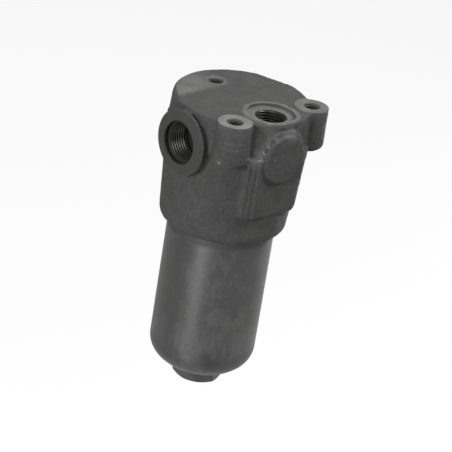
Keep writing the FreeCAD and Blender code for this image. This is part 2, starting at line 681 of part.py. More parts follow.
PIECES = [filter_head, filter_bowl, bowl_o_ring, bowl_backup_ring, element_spigot, spigot_o_ring,
          element_top_cap, element_o_ring, element_bottom_cap, element_core_tube, element_outer_guard,
          element_pleat_pack, element_spring, bypass_valve_body, bypass_washer, bypass_poppet,
          bypass_spring, bypass_spring_plate, bypass_retaining_ring]

os.makedirs("parts", exist_ok=True)
for piece in PIECES:
    shape = piece()
    shape.exportStep("parts/" + piece.__name__ + ".step")
    print(piece.__name__, len(shape.Solids), shape.isValid(), round(shape.Volume / 1000, 2), "cm3")
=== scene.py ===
import json
import math
from collections import Counter
import bpy
from mathutils import Matrix, Vector


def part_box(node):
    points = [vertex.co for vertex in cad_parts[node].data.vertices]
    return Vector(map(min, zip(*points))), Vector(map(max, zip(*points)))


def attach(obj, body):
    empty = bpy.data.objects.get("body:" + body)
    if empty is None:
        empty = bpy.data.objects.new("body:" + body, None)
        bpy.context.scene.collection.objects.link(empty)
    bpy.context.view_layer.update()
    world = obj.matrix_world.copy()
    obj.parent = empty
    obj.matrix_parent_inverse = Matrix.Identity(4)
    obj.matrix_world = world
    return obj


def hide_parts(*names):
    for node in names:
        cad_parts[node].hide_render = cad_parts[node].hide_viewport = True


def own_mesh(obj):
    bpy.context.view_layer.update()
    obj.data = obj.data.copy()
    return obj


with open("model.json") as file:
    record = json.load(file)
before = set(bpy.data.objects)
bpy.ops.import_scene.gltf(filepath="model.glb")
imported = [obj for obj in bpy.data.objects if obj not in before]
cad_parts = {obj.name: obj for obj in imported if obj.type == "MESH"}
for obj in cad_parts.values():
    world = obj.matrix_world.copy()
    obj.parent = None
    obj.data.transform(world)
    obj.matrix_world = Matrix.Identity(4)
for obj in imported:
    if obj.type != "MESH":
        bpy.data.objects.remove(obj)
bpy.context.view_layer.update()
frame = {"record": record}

mounts = {mount["name"]: mount for mount in frame["record"]["mounts"]}
mm = 0.001


# Rough casting of the filter head: grey iron, poured as one piece. It is built like the foundry's pattern,
# as a body with its lugs, port bosses and pad set into it, and then all of it is melted together, which
# leaves the soft fillets and edges of a casting.
def deselect():
    if bpy.context.mode != "OBJECT":
        bpy.ops.object.mode_set(mode="OBJECT")
    bpy.ops.object.select_all(action="DESELECT")


def close(name):
    """Leaves edit mode with the normals pointing outwards, and names the piece."""
    bpy.ops.mesh.select_all(action="SELECT")
    bpy.ops.mesh.normals_make_consistent(inside=False)
    bpy.ops.object.mode_set(mode="OBJECT")
    piece = bpy.context.object
    piece.name = piece.data.name = name
    bpy.ops.object.transform_apply(location=True, rotation=True, scale=True)
    return piece


def rounded(corners, step=10):
    """Points of an outline through corners (radius, height) or (radius, height, edge radius), in millimetres."""
    points = [Vector((c[0], 0, c[1])) for c in corners]
    outline = []
    for i, here in enumerate(points):
        radius = corners[i][2] if len(corners[i]) > 2 else 0
        if not radius:
            outline.append(here)
            continue
        back = (points[i - 1] - here).normalized()
        on = (points[i + 1] - here).normalized()
        half = back.angle(on) / 2
        centre = here + (back + on).normalized() * radius / math.sin(half)
        start = here + back * radius / math.tan(half) - centre
        end = here + on * radius / math.tan(half) - centre
        count = math.ceil(math.degrees(start.angle(end)) / step)
        outline += [centre + start.slerp(end, k / count) * radius for k in range(count + 1)]
    return outline


def turned(name, corners, steps=128):
    """A solid turned about Z: a disc drawn out and widened or narrowed along the outline, millimetres in."""
    outline = rounded(corners)
    deselect()
    bpy.ops.mesh.primitive_circle_add(vertices=steps, radius=outline[0].x * mm, fill_type="NGON",
                                      location=(0, 0, outline[0].z * mm))
    bpy.ops.object.mode_set(mode="EDIT")
    bpy.ops.mesh.select_all(action="SELECT")
    for last, here in zip(outline, outline[1:]):
        bpy.ops.mesh.extrude_region_move(TRANSFORM_OT_translate={"value": (0, 0, (here.z - last.z) * mm)})
        bpy.ops.transform.resize(value=(here.x / last.x, here.x / last.x, 1))
    return close(name)


head_low, head_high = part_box("filter_head")
head_low, head_high = head_low / mm, head_high / mm
BODY_R = head_high.y
RIM_Z = head_low.z
RIM_EDGE_R = 6
PARTING_Z = (Vector(mounts["side_port"]["pos_m"]) / mm).z
CAST_TOP_Z = -1.4
CAST_TOP_EDGE_R = 1.2
DRAFT = math.tan(math.radians(3.3))
CORE_R = 30
MACHINING = 1.5


def body_radius(z):
    return BODY_R - abs(z - PARTING_Z) * DRAFT


casting = turned("head_casting", [(CORE_R, RIM_Z), (body_radius(RIM_Z), RIM_Z, RIM_EDGE_R), (BODY_R, PARTING_Z),
                                  (body_radius(CAST_TOP_Z), CAST_TOP_Z, CAST_TOP_EDGE_R), (CORE_R, CAST_TOP_Z)])
shapes = [casting]


# The rear pad round the third mounting hole is cast with the body and stands above its top, behind a soft
# slope across the head, so that it can be faced. To the right of the ring the cast top swells up to meet
# the lug there.
def taken_up(piece):
    """Selects one piece alone and makes it the active one."""
    deselect()
    piece.select_set(True)
    bpy.context.view_layer.objects.active = piece


def edit(piece, where=None):
    """Opens a piece in edit mode, selecting the faces whose centre and normal pass the test, or all of them."""
    taken_up(piece)
    bpy.ops.object.mode_set(mode="EDIT")
    bpy.ops.mesh.select_mode(type="FACE")
    bpy.ops.mesh.select_all(action="SELECT" if where is None else "DESELECT")
    if where is not None:
        bpy.ops.object.mode_set(mode="OBJECT")
        for face in piece.data.polygons:
            face.select = where(face.center, face.normal)
        bpy.ops.object.mode_set(mode="EDIT")


def sawn(at, away):
    """Saws the piece that is being edited through a point, in millimetres, and drops what lies that way."""
    bpy.ops.mesh.select_all(action="SELECT")
    bpy.ops.mesh.bisect(plane_co=[place * mm for place in at], plane_no=away, use_fill=True, clear_outer=True)


BURIED_Z = -12
REAR_PAD_Y = 15.0
REAR_PAD_TOP_Z = 0.3
REAR_PAD_EDGE_R = 3.6
PAD_SKEW = math.radians(3.8)
PAD_SLOPES = ((-2.6, -1.5, 11), (-1.3, -1.05, 26), (0.3, -0.25, 17), (1.8, 0.05, 7))
rear_pad = turned("rear_pad", [(CORE_R, BURIED_Z), (body_radius(BURIED_Z) - 0.1, BURIED_Z),
                               (body_radius(0) - 0.1, REAR_PAD_TOP_Z, REAR_PAD_EDGE_R), (CORE_R, REAR_PAD_TOP_Z)])
edit(rear_pad)
for behind, rise, fall in PAD_SLOPES:
    across, tilt = math.cos(math.radians(fall)), math.sin(math.radians(fall))
    sawn((0, REAR_PAD_Y + behind, rise), (math.sin(PAD_SKEW) * tilt, -math.cos(PAD_SKEW) * tilt, across))
shapes.append(close("rear_pad"))

SWELL_FOOT = (15, 5, CAST_TOP_Z)
SWELL_SLOPE = (-0.0204, 0.0454, 1)
swell = turned("cast_swell", [(20, BURIED_Z), (body_radius(BURIED_Z) - 0.1, BURIED_Z),
                              (body_radius(0) + 0.3, -0.1, 0.6), (20, -1.5)])
edit(swell)
sawn(SWELL_FOOT, SWELL_SLOPE)
shapes.append(close("cast_swell"))


# Two lugs at the front carry the other mounting holes. They are cast with the body, a little wider at the
# foot, and stand proud of the mounting plane until they are faced.
def placed(piece, at=(0, 0, 0), turn=(0, 0, 0)):
    """Turns a finished shape by angles in degrees, moves it by millimetres, and settles its mesh there."""
    taken_up(piece)
    piece.rotation_euler = [math.radians(angle) for angle in turn]
    piece.location = Vector(at) * mm
    bpy.ops.object.transform_apply(location=True, rotation=True, scale=True)
    return piece


HOLE_CIRCLE_R = mounts["mounting_bolts"]["dims"]["pcd_mm"] / 2
HOLE_CIRCLE_Y = mounts["mounting_bolts"]["pos_m"][1] / mm
HOLES = [(HOLE_CIRCLE_R * math.cos(math.radians(angle)),
          HOLE_CIRCLE_Y + HOLE_CIRCLE_R * math.sin(math.radians(angle))) for angle in (90, 210, 330)]
LUG_CORE_R = 4
LUG_R = 10.6
LUG_FOOT_R = 11.2
LUG_FOOT_EDGE_R = 4
LUG_BOTTOM_Z = -27.0
for x, y in HOLES[1:]:
    lug = turned("lug", [(LUG_CORE_R, LUG_BOTTOM_Z), (LUG_FOOT_R, LUG_BOTTOM_Z, LUG_FOOT_EDGE_R),
                         (LUG_R, MACHINING), (LUG_CORE_R, MACHINING)], 96)
    shapes.append(placed(lug, (x, y, 0)))


# Side port boss: a thin round flange on a short neck, with an angular base cast behind it, whose shoulders
# run up to a narrow top.
def block(name, low, high):
    """A box between two corners, in millimetres."""
    low, high = Vector(low) * mm, Vector(high) * mm
    deselect()
    bpy.ops.mesh.primitive_cube_add(size=1, location=(low + high) / 2)
    bpy.ops.object.mode_set(mode="EDIT")
    bpy.ops.mesh.select_all(action="SELECT")
    bpy.ops.transform.resize(value=high - low)
    return close(name)


FACING_LEFT = (0, -90, 0)
SIDE_CORE_R = 8
FLANGE_R = 21.1
FLANGE_T = 2.0
FLANGE_EDGE_R = 0.8
FLANGE_Z = PARTING_Z + 0.5
SIDE_FACE_X = head_low.x - 0.5
NECK_R = 18.4
NECK_LENGTH = 20
flange = turned("side_flange", [(SIDE_CORE_R, 0), (FLANGE_R, 0, FLANGE_EDGE_R),
                                (FLANGE_R, FLANGE_T + MACHINING), (SIDE_CORE_R, FLANGE_T + MACHINING)])
shapes.append(placed(flange, (SIDE_FACE_X + FLANGE_T, 0, FLANGE_Z), FACING_LEFT))
neck = turned("side_neck", [(SIDE_CORE_R, 0), (NECK_R, 0), (NECK_R, NECK_LENGTH), (SIDE_CORE_R, NECK_LENGTH)])
shapes.append(placed(neck, (SIDE_FACE_X + FLANGE_T + NECK_LENGTH - 0.5, 0, FLANGE_Z), FACING_LEFT))
BASE_HALF = FLANGE_R + 0.4
BASE_SHOULDER = 14.0
BASE_TOP = 19.5
BASE_TOP_HALF = 6.0
BASE_X = SIDE_FACE_X + 5.6
BASE_INNER_X = -10
base = block("side_base", (BASE_X, -BASE_HALF, PARTING_Z), (BASE_INNER_X, BASE_HALF, PARTING_Z + BASE_SHOULDER))
edit(base, lambda centre, normal: normal.z > 0.9)
bpy.ops.mesh.extrude_region_move(TRANSFORM_OT_translate={"value": (0, 0, (BASE_TOP - BASE_SHOULDER) * mm)})
bpy.ops.transform.resize(value=(1, BASE_TOP_HALF / BASE_HALF, 1))
shapes.append(close("side_base"))


# Raised ring round the top port, cast on, eight-sided with rounded corners. A lip joins it to the front of
# the body, and a web fills the corner between the lip and the right-hand lug.
def modified(piece, kind, **settings):
    """Adds a modifier to a piece, sets it and applies it."""
    taken_up(piece)
    bpy.ops.object.modifier_add(type=kind)
    modifier = piece.modifiers[-1]
    for name, value in settings.items():
        setattr(modifier, name, value)
    bpy.ops.object.modifier_apply(modifier=modifier.name)
    return piece


def combined(piece, tool, operation="DIFFERENCE"):
    """Cuts a tool's shape out of a piece, or joins or intersects the two. The tool is used up."""
    modified(piece, "BOOLEAN", operation=operation, object=tool, solver="MANIFOLD")
    bpy.data.objects.remove(tool)
    return piece


def prism(name, sides, radius, height, centre, turn, bevel, segments):
    """An upright prism of so many sides, in millimetres and degrees, with its upright edges bevelled."""
    deselect()
    bpy.ops.mesh.primitive_cylinder_add(vertices=sides, radius=radius * mm, depth=height * mm,
                                        location=[place * mm for place in centre],
                                        rotation=(0, 0, math.radians(turn)))
    bpy.ops.object.mode_set(mode="EDIT")
    piece = close(name)
    edit(piece)
    bpy.ops.mesh.select_mode(type="EDGE")
    bpy.ops.mesh.select_all(action="DESELECT")
    bpy.ops.object.mode_set(mode="OBJECT")
    for edge in piece.data.edges:
        ends = [piece.data.vertices[v].co for v in edge.vertices]
        edge.select = abs(ends[0].z - ends[1].z) > height / 2 * mm
    bpy.ops.object.mode_set(mode="EDIT")
    bpy.ops.mesh.bevel(offset=bevel * mm, segments=segments)
    return close(name)


TOP_PORT = Vector(mounts["top_port"]["pos_m"]) / mm
SPOT_R = 15.0
RING_HALF = SPOT_R + 1.6
RING_HEIGHT = 3.6
RING_TOP_Z = -0.4
RING_TURN = 22.5 + 8
RING_FRONT_R = body_radius(0) + 1.7
ring = prism("top_ring", 8, RING_HALF / math.cos(math.pi / 8), RING_HEIGHT,
             (0.5, TOP_PORT.y + 0.7, RING_TOP_Z - RING_HEIGHT / 2), RING_TURN, 2.6, 5)
front_limit = turned("front_limit", [(5, -9), (RING_FRONT_R, -9), (RING_FRONT_R, 4), (5, 4)])
shapes.append(combined(ring, front_limit, "INTERSECT"))

LIP_R = BODY_R + 0.7
LIP_TOP_Z = -0.9
LIP_LEFT_X = 9
LIP_BACK_Y = -34
lip = turned("front_lip", [(20, BURIED_Z), (BODY_R - 0.6, BURIED_Z), (LIP_R, -7.5), (LIP_R, LIP_TOP_Z, 3),
                           (20, LIP_TOP_Z)])
edit(lip)
sawn((LIP_LEFT_X, 0, 0), (-1, 0, 0))
sawn((0, LIP_BACK_Y, 0), (0, 1, 0))
shapes.append(close("front_lip"))

WEB_TOP_Z = -1.0
web = block("lug_web", (0, -41, LUG_BOTTOM_Z + 3), (27, -25, WEB_TOP_Z))
edit(web)
sawn((15, -39.7, 0), (0.17, -1, 0))
shapes.append(close("lug_web"))

# Flat pad at the front, cast on, its sides stepped back twice and tapered downwards. On it stands the drum
# with the round blank for a clogging indicator, which is faced but not drilled on this head.
PAD_FACE_Y = -44.5
PAD_HALF = 18.75
PAD_TOP_Z = PARTING_Z + 1.6
PAD_BOTTOM_Z = PAD_TOP_Z - 40.5
PAD_STEPS = 3
PAD_STEP = 2.7
PAD_STEP_BACK = 1.8
PAD_TAPER = 1.8
PAD_INNER_Y = -10
for i in range(PAD_STEPS):
    half = PAD_HALF + i * PAD_STEP
    face = PAD_FACE_Y + i * PAD_STEP_BACK
    step = block("pad_step", (-half, face, PAD_BOTTOM_Z), (half, PAD_INNER_Y, PAD_TOP_Z))
    edit(step, lambda centre, normal: normal.z < -0.9)
    bpy.ops.transform.resize(value=(1 - PAD_TAPER / half, 1, 1))
    bpy.ops.transform.translate(value=(0, PAD_TAPER * mm, 0))
    shapes.append(close("pad_step"))

FACING_FRONT = (90, 0, 0)
DRUM_CORE_R = 4
DRUM_R = 18.2
DRUM_Y = -43.4
DRUM_LENGTH = 33.4
BLANK_R = 14.7
BLANK_Y = head_low.y
BLANK_TOP = DRUM_Y - BLANK_Y + DRUM_LENGTH + 1
drum = turned("drum", [(DRUM_CORE_R, 0), (DRUM_R + 3, DRUM_LENGTH - 5), (DRUM_R + 0.7, DRUM_LENGTH - 3),
                       (DRUM_R, DRUM_LENGTH, 1.2), (DRUM_CORE_R, DRUM_LENGTH)])
shapes.append(placed(drum, (0, DRUM_Y + DRUM_LENGTH, PARTING_Z), FACING_FRONT))
blank = turned("blank", [(DRUM_CORE_R, 0), (BLANK_R + 0.6, 0), (BLANK_R + 0.6, DRUM_LENGTH),
                         (BLANK_R + 0.2, DRUM_LENGTH + 0.4), (BLANK_R, BLANK_TOP), (DRUM_CORE_R, BLANK_TOP)])
shapes.append(placed(blank, (0, DRUM_Y + DRUM_LENGTH, PARTING_Z), FACING_FRONT))

# All shapes of the pattern melt into one casting. Its skin is smoothed, and then roughened a little by the
# sand of the mould.
MELT_GRID = 0.78
SAND_PATCH = 7
SAND_RELIEF = 0.5
deselect()
for shape in shapes:
    shape.select_set(True)
bpy.context.view_layer.objects.active = casting
bpy.ops.object.join()
head = modified(casting, "REMESH", mode="VOXEL", voxel_size=MELT_GRID * mm)
head = modified(head, "SMOOTH", factor=0.5, iterations=3)
sand = bpy.data.textures.new("sand_unevenness", "CLOUDS")
sand.noise_scale = SAND_PATCH * mm
sand.noise_depth = 2
head = modified(head, "DISPLACE", texture=sand, texture_coords="LOCAL", strength=SAND_RELIEF * mm, mid_level=0.5)


# Machining of the head. The mounting plane and the side flange are faced, the ports, mounting holes and the
# bowl's seat are bored and threaded, and the oil passages are drilled from the ports and from below.
def threaded(name, major, minor, pitch, low, high, steps=96):
    """A threaded rod along Z: one turn's V profile, wound up by a screw and sawn off square at both ends."""
    turns = math.ceil((high - low) / pitch) + 2
    deselect()
    bpy.ops.mesh.primitive_plane_add(size=mm, location=(minor * mm, 0, (low - pitch) * mm))
    bpy.ops.object.transform_apply(location=True)
    bpy.ops.object.mode_set(mode="EDIT")
    bpy.ops.mesh.select_mode(type="VERT")
    bpy.ops.mesh.select_all(action="SELECT")
    bpy.ops.mesh.merge(type="CENTER")
    for out, up in ((0, 0.167), (major - minor, 0.354), (0, 0.125), (minor - major, 0.354)):
        bpy.ops.mesh.extrude_region_move(TRANSFORM_OT_translate={"value": (out * mm, 0, up * pitch * mm)})
    bpy.ops.object.mode_set(mode="OBJECT")
    rod = modified(bpy.context.object, "SCREW", angle=math.tau, steps=steps, render_steps=steps, iterations=turns,
                   screw_offset=pitch * mm, use_merge_vertices=True, merge_threshold=0.002 * mm)
    edit(rod)
    bpy.ops.mesh.remove_doubles(threshold=0.002 * mm)
    sawn((0, 0, low), (0, 0, -1))
    sawn((0, 0, high), (0, 0, 1))
    return close(name)


def cleaned(piece):
    """Merges what the cuts left in the same place, and closes the mesh where a sliver fell away."""
    same_place = 0.0001 * mm
    edit(piece)
    bpy.ops.mesh.remove_doubles(threshold=same_place)
    bpy.ops.mesh.dissolve_degenerate(threshold=same_place)
    bpy.ops.object.mode_set(mode="OBJECT")
    corners = [frozenset(face.vertices) for face in piece.data.polygons]
    twice = {c for c, times in Counter(corners).items() if times > 1}
    bpy.ops.object.mode_set(mode="EDIT")
    bpy.ops.mesh.select_all(action="DESELECT")
    bpy.ops.object.mode_set(mode="OBJECT")
    for face, corner in zip(piece.data.polygons, corners):
        face.select = corner in twice
    bpy.ops.object.mode_set(mode="EDIT")
    bpy.ops.mesh.delete(type="FACE")
    bpy.ops.mesh.select_all(action="SELECT")
    bpy.ops.mesh.delete_loose()
    bpy.ops.mesh.select_all(action="SELECT")
    bpy.ops.mesh.fill_holes(sides=8)
    bpy.ops.object.mode_set(mode="OBJECT")


def smoothed(piece, angle):
    """Shades a piece smooth across edges below an angle in degrees."""
    taken_up(piece)
    bpy.ops.object.shade_smooth_by_angle(angle=math.radians(angle))


tools = [block("facing_cut", (-60, -60, 0), (60, 60, 10)),
         block("blank_cut", (-20, BLANK_Y - 8, PARTING_Z - 20), (20, BLANK_Y, PARTING_Z + 20))]
FACE_HEIGHT = -SIDE_FACE_X
face_cut = [(6, FACE_HEIGHT), (FLANGE_R - 1.3, FACE_HEIGHT), (FLANGE_R - 0.45, FACE_HEIGHT - 0.35),
            (FLANGE_R, FACE_HEIGHT - 1.2), (27, FACE_HEIGHT - 1.2), (27, 60), (6, 60)]
tools.append(placed(turned("flange_cut", face_cut), (0, 0, FLANGE_Z), FACING_LEFT))

CHAMBER_R = 28.9
ROOF_Z = -42.0
STEP_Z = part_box("filter_bowl")[1].z / mm + 0.3
BOWL_PITCH = 2.0
THREAD_TOP_Z = STEP_Z - 13.5
THREAD_BASE_Z = THREAD_TOP_Z - 18
SEAL_BORE_R = 31.6
MOUTH_R = 35.1
SEAT_MINOR, SEAT_MAJOR = 32.85, 34.05
bowl_seat = [(MOUTH_R + 1.5, RIM_Z - 1), (MOUTH_R, RIM_Z + 0.5), (MOUTH_R, THREAD_BASE_Z - 1.5),
             (SEAT_MINOR, THREAD_BASE_Z + MOUTH_R - SEAT_MINOR - 1.5), (SEAT_MINOR, THREAD_TOP_Z + 1.2),
             (SEAL_BORE_R, THREAD_TOP_Z + 2.4), (SEAL_BORE_R, STEP_Z), (CHAMBER_R, STEP_Z), (CHAMBER_R, ROOF_Z, 1),
             (10, ROOF_Z)]
tools.append(turned("bowl_seat", bowl_seat))
tools.append(threaded("bowl_seat_thread", SEAT_MAJOR, SEAT_MINOR, BOWL_PITCH, THREAD_BASE_Z - 1, THREAD_TOP_Z, 128))

PIPE_PITCH = 1.814
SIDE_MINOR, SIDE_MAJOR = 12.06, 13.22
SIDE_BORE_Y = 0.9
SIDE_BORE_END = 13.4
SIDE_DRILL_R = 9
SIDE_THREAD_END = FACE_HEIGHT - 2.9
side_bore = [(6, SIDE_BORE_END), (SIDE_DRILL_R, SIDE_BORE_END, 3), (SIDE_DRILL_R, 25.5), (SIDE_MINOR, 28),
             (SIDE_MINOR, FACE_HEIGHT - 3.9), (SIDE_MAJOR - 0.3, SIDE_THREAD_END),
             (SIDE_MAJOR - 0.25, FACE_HEIGHT - 0.3), (SIDE_MAJOR, FACE_HEIGHT), (SIDE_MAJOR, FACE_HEIGHT + 2)]
tools.append(placed(turned("side_bore", side_bore), (0, SIDE_BORE_Y, PARTING_Z), FACING_LEFT))
side_thread = threaded("side_thread", SIDE_MAJOR - 0.3, SIDE_MINOR, PIPE_PITCH, 29, SIDE_THREAD_END)
tools.append(placed(side_thread, (0, SIDE_BORE_Y, PARTING_Z), FACING_LEFT))
INLET_DROP_R = 7.5
drop = turned("inlet_drop", [(INLET_DROP_R, ROOF_Z - 1), (INLET_DROP_R, PARTING_Z)], 64)
tools.append(placed(drop, (-CHAMBER_R + 8, 0, 0)))

SPOT_Z = -2.3
GALLERY_Z = -28.5
GALLERY_R = 7.0
VALVE_Y = (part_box("bypass_poppet")[0].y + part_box("bypass_poppet")[1].y) / 2 / mm
TOP_MINOR, TOP_MAJOR = 9.32, 10.48
top_bore = [(GALLERY_R, GALLERY_Z), (GALLERY_R, -20), (TOP_MINOR, -17.6), (TOP_MINOR, SPOT_Z - 1.5),
            (TOP_MAJOR - 0.3, SPOT_Z), (SPOT_R, SPOT_Z), (SPOT_R, 4)]
tools.append(placed(turned("top_bore", top_bore), (0, TOP_PORT.y, 0)))
top_thread = threaded("top_thread", TOP_MAJOR - 0.3, TOP_MINOR, PIPE_PITCH, -17, SPOT_Z - 0.4)
tools.append(placed(top_thread, (0, TOP_PORT.y, 0)))
GALLERY_END_Y = VALVE_Y + 7.4
SPIGOT_SEAT_R, VALVE_SEAT_R = 8.85, 7.05
gallery = turned("gallery", [(GALLERY_R, TOP_PORT.y), (GALLERY_R, GALLERY_END_Y)], 64)
tools.append(placed(gallery, (0, 0, GALLERY_Z), (-90, 0, 0)))
tools.append(turned("spigot_seat", [(SPIGOT_SEAT_R, ROOF_Z - 1), (SPIGOT_SEAT_R, GALLERY_Z)], 64))
valve_seat = turned("valve_seat", [(VALVE_SEAT_R, ROOF_Z - 1), (VALVE_SEAT_R, GALLERY_Z)], 64)
tools.append(placed(valve_seat, (0, VALVE_Y, 0)))

HOLE_MINOR, HOLE_MAJOR, HOLE_PITCH = 4.19, 5.05, 1.5
for x, y in HOLES:
    drill = turned("mounting_hole", [(0.2, -17), (HOLE_MINOR, -14), (HOLE_MINOR, -1.2), (5.3, 0), (7, 2)], 64)
    tools.append(placed(drill, (x, y, 0)))
    tap = threaded("mounting_thread", HOLE_MAJOR, HOLE_MINOR, HOLE_PITCH, -13, 0.5, 64)
    tools.append(placed(tap, (x, y, 0)))

for tool in tools:
    combined(head, tool)
cleaned(head)
head.name = head.data.name = "head_casting"
smoothed(head, 32)
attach(head, "head")
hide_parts("filter_head")


# Finish of the casting. Phosphated grey iron: dark and mottled with a fine cast grain, the colour drifting
# from olive to blue. The faces that were machined afterwards are bare, lighter metal with fine tool marks.
class Amount:
    """A number that varies over a surface. A sum of such numbers adds the Math nodes that work it out."""

    def __init__(self, finish, socket):
        self.finish, self.socket = finish, socket

    def maths(self, operation, first, second):
        return self.finish.node("ShaderNodeMath", {"operation": operation}, {0: first, 1: second})

    def __add__(self, other):
        return self.maths("ADD", self, other)

    def __sub__(self, other):
        return self.maths("SUBTRACT", self, other)

    def __rsub__(self, other):
        return self.maths("SUBTRACT", other, self)

    def __mul__(self, other):
        return self.maths("MULTIPLY", self, other)

    def __pow__(self, other):
        return self.maths("POWER", self, other)

    def __or__(self, other):
        """The larger of two masks, so that either of them shows."""
        return self.maths("MAXIMUM", self, other)

    __radd__ = __add__
    __rmul__ = __mul__
    __ror__ = __or__


class Finish:
    """One finish of the filter: a material put together from nodes that read the piece's own coordinates."""

    def __init__(self, name, **constants):
        self.material = bpy.data.materials.new(name)
        self.material.use_nodes = True
        self.tree = self.material.node_tree
        self.shader = self.tree.nodes["Principled BSDF"]
        for socket, value in constants.items():
            self.shader.inputs[socket.replace("_", " ")].default_value = value
        self.here = self.node("ShaderNodeTexCoord", {}, {}, "Object")
        self.x, self.y, self.z = (self.node("ShaderNodeSeparateXYZ", {}, {0: self.here}, axis) * 1000
                                  for axis in "XYZ")

    def node(self, kind, settings, inputs, output=0):
        """A node of a type, with its settings made first and then its sockets given values or links."""
        made = self.tree.nodes.new(kind)
        for name, value in settings.items():
            setattr(made, name, value)
        for key, value in inputs.items():
            if isinstance(value, Amount):
                self.tree.links.new(value.socket, made.inputs[key])
            else:
                made.inputs[key].default_value = value
        return Amount(self, made.outputs[output])

    def mottle(self, size, detail=3, rough=0.55, stretch=(1, 1, 1), shift=0):
        """Cloudy noise from about 0 to 1, its patches of a size in millimetres, stretched along an axis."""
        where = self.node("ShaderNodeMapping", {}, {0: self.here, 1: (shift, shift, shift),
                                                    3: [1000 / size / s for s in stretch]})
        return self.node("ShaderNodeTexNoise", {},
                         {"Vector": where, "Scale": 1, "Detail": detail, "Roughness": rough})

    def lines(self, along, scale, detail=3):
        """Noise that changes along one measure only, as tool marks do."""
        return self.node("ShaderNodeTexNoise", {"noise_dimensions": "1D"},
                         {"W": along, "Scale": scale, "Detail": detail})

    def step(self, value, low, high):
        """A soft ramp from 0 at low to 1 at high, or downwards when low is the larger."""
        return self.node("ShaderNodeMapRange", {"interpolation_type": "SMOOTHSTEP"}, {0: value, 1: low, 2: high})

    def tint(self, amount, first, second):
        """Mixes two colours, each given as three numbers or as another mix."""
        colours = [c if isinstance(c, Amount) else (*c, 1) for c in (first, second)]
        return self.node("ShaderNodeMix", {"data_type": "RGBA"}, {0: amount, 6: colours[0], 7: colours[1]}, 2)

    def around(self, a, b):
        """Distance from an axis in millimetres, from the two coordinates measured square to it."""
        return (a * a + b * b) ** 0.5

    def near(self, point, radius):
        """A soft spot round a point, both in millimetres."""
        away = self.node("ShaderNodeVectorMath", {"operation": "DISTANCE"},
                         {0: self.here, 1: Vector(point) * mm}, 1) * 1000
        return self.step(away, radius, radius * 0.35)

    def bump(self, height, depth, under=None):
        """Relief from a height of 0 to 1 that stands for a depth in millimetres."""
        inputs = {"Height": height, "Distance": depth * mm, "Strength": 1.0}
        if under is not None:
            inputs["Normal"] = under
        return self.node("ShaderNodeBump", {}, inputs)

    def set(self, **sockets):
        """Links what varies to the shader's sockets."""
        for name, value in sockets.items():
            self.tree.links.new(value.socket, self.shader.inputs[name.replace("_", " ")])

    def onto(self, *pieces):
        """Gives pieces this finish; names are CAD nodes."""
        for piece in pieces:
            mesh = (bpy.data.objects[piece] if isinstance(piece, str) else piece).data
            mesh.materials.clear()
            mesh.materials.append(self.material)


OLIVE_IRON, BLUE_IRON = (0.049, 0.0487, 0.0458), (0.049, 0.049, 0.0512)
PALE_IRON, DARK_IRON = (0.082, 0.082, 0.078), (0.026, 0.026, 0.026)
LIGHT_GRAIN, DARK_GRAIN = (0.13, 0.13, 0.127), (0.018, 0.018, 0.018)
TOP_IRON = (0.084, 0.084, 0.081)
iron = Finish("cast_iron", Specular_IOR_Level=0.12)
drift = iron.mottle(34, 2, 0.5, shift=7)
clouds = iron.mottle(12, 4, 0.6)
patches = iron.mottle(3.4, 5, 0.65, shift=3)
grain = iron.mottle(0.9, 4, 0.75)
colour = iron.tint(iron.step(drift, 0.36, 0.62), OLIVE_IRON, BLUE_IRON)
colour = iron.tint(iron.step(clouds, 0.34, 0.76) * 0.4, colour, PALE_IRON)
colour = iron.tint(iron.step(patches, 0.5, 0.75) * 0.35, colour, DARK_IRON)
colour = iron.tint(iron.step(grain, 0.54, 0.7) * 0.6, colour, LIGHT_GRAIN)
colour = iron.tint(iron.step(grain, 0.46, 0.3) * 0.6, colour, DARK_GRAIN)
uneven = 0.5 + (clouds - 0.5) * 1.2 + (patches - 0.5) * 0.9 + (grain - 0.5) * 0.9
colour = iron.tint(iron.step(iron.z, CAST_TOP_Z - 1.2, CAST_TOP_Z - 0.3) * uneven, colour, TOP_IRON)

# Bare metal of the head: the faced lugs and spot face, the scraped ring, and the rear pad, which is worn at
# its left end and round its hole. The tapped bores are painted dark inside as shade, darkest deep in the side bore.
BARE_DARK, BARE_LIGHT = (0.14, 0.14, 0.136), (0.21, 0.21, 0.206)
SHADED_BORE_IRON, DEEP_BORE_SHADE = (0.03, 0.03, 0.028), (0.006, 0.006, 0.006)
from_top_port = iron.around(iron.x, iron.y - TOP_PORT.y)
from_side_port = iron.around(iron.y - SIDE_BORE_Y, iron.z - PARTING_Z)
from_rear_hole = iron.around(iron.x - HOLES[0][0], iron.y - HOLES[0][1])
waver = (patches - 0.5) * 2
rim = (iron.step(iron.z + waver * 0.3, -1.2, -0.7) * iron.step(from_top_port, SPOT_R + 3.6, SPOT_R + 2.6)
       * iron.step(from_top_port, SPOT_R - 0.1, SPOT_R + 0.1))
spot = (iron.step(from_top_port, SPOT_R + 0.2, SPOT_R - 0.1) * iron.step(iron.z, SPOT_Z - 0.5, SPOT_Z - 0.2)
        * iron.step(iron.z, SPOT_Z + 0.5, SPOT_Z + 0.2))
rear = iron.step(iron.y - iron.x * math.tan(PAD_SKEW), 5, 7)
left_end = iron.step(iron.x + waver * 7, 8, -14) * 0.55
halo = iron.step(from_rear_hole + waver * 0.8, 9, 5.8) * 0.5
rear_worn = iron.step(iron.z + waver * 0.3, -0.9, -0.05) * rear * (left_end | halo)
right_lug = iron.step(iron.x, 18, 22) * iron.step(iron.y, -14, -18)
faced = iron.step(iron.z, -0.13, -0.04)
bare = (faced * (1 - rear) * (1 - right_lug * 0.38) + rear_worn) | (spot * 0.8) | (rim * 0.55)
side_bored = iron.step(from_side_port, SIDE_MAJOR + 0.7, SIDE_MAJOR + 0.5) * iron.step(iron.x, -12, -13)
